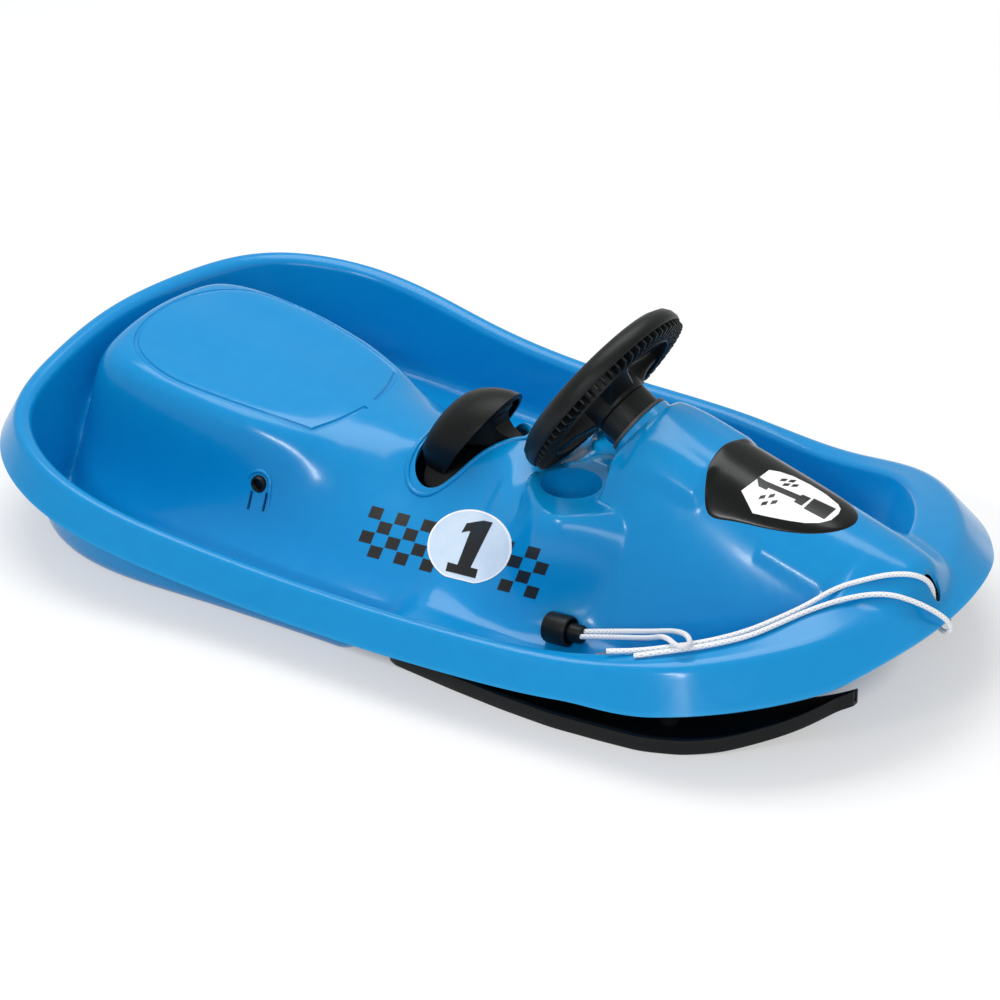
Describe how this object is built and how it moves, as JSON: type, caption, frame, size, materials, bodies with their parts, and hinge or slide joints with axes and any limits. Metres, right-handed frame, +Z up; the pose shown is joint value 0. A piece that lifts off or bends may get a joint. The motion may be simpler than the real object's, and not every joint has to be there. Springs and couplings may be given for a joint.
{
  "type": "steering sled",
  "caption": "Moulded snow sled with a tub seat, a steering wheel that turns front skis through a linkage, a hand brake lever, cup pockets and a tow rope.",
  "frame": {"origin": "on the ground under the middle of the hull", "axes": "+X to the nose, +Y to the rider's left, +Z up"},
  "size_m": [1.0077, 0.5846, 0.3041],
  "materials": {
    "blue_plastic": "glossy moulded polyethylene",
    "black_plastic": "fine matte grain",
    "black_gloss_plastic": "satin",
    "zinc_steel": "zinc plated",
    "bearing_plastic": "smooth",
    "white_cord": "braided"
  },
  "bodies": {
    "hull": {"hull": "blue_plastic", "nose_cover": "black_gloss_plastic", "column_bush_upper": "bearing_plastic", "column_bush_lower": "bearing_plastic", "kingpin_bushes": "bearing_plastic", "kingpin_washers": "zinc_steel", "brake_axle": "zinc_steel", "axle_caps": "black_plastic", "tow_rope": "white_cord", "toggle_loop": "white_cord", "rope_toggle": "black_plastic"},
    "steering": {"steering_wheel": "black_plastic", "wheel_cap": "black_plastic", "wheel_screw": "zinc_steel", "steering_column": "black_plastic", "column_retaining_ring": "zinc_steel", "crank_arm": "black_plastic", "crank_screw": "zinc_steel"},
    "tie_rod": {"tie_rod": "black_plastic"},
    "ski_right": {"ski_right": "black_plastic", "kingpin_right": "zinc_steel", "kingpin_nut_right": "zinc_steel"},
    "ski_left": {"ski_left": "black_plastic", "kingpin_left": "zinc_steel", "kingpin_nut_left": "zinc_steel"},
    "brake": {"brake_lever": "black_plastic", "brake_handle": "black_plastic", "brake_handle_screws": "zinc_steel", "brake_claws": "zinc_steel", "claw_rivets": "zinc_steel"}
  },
  "joints": [
    {"name": "steering_turn", "type": "hinge", "parent": "hull", "child": "steering", "pos_m": [0.113, 0, 0.22], "axis": [-0.848, 0, 0.5299], "range_deg": [-18, 18]},
    {"name": "tie_rod_slide", "type": "slide", "parent": "hull", "child": "tie_rod", "axis": [0, 1, 0], "range_m": [-0.0223, 0.0223]},
    {"name": "ski_right_turn", "type": "hinge", "parent": "hull", "child": "ski_right", "pos_m": [0.22865, -0.172, 0.02], "axis": [0, 0, 1], "range_deg": [-18.1, 18.1]},
    {"name": "ski_left_turn", "type": "hinge", "parent": "hull", "child": "ski_left", "pos_m": [0.22865, 0.172, 0.02], "axis": [0, 0, 1], "range_deg": [-18.1, 18.1]},
    {"name": "brake_pull", "type": "hinge", "parent": "hull", "child": "brake", "pos_m": [-0.212, 0, 0.068], "axis": [0, -1, 0], "range_deg": [0, 12]}
  ],
  "couplings": [
    {"joint": "tie_rod_slide", "follows": "steering_turn", "m_per_rad": -0.0706},
    {"joint": "ski_right_turn", "follows": "steering_turn", "ratio": 1},
    {"joint": "ski_left_turn", "follows": "steering_turn", "ratio": 1}
  ]
}
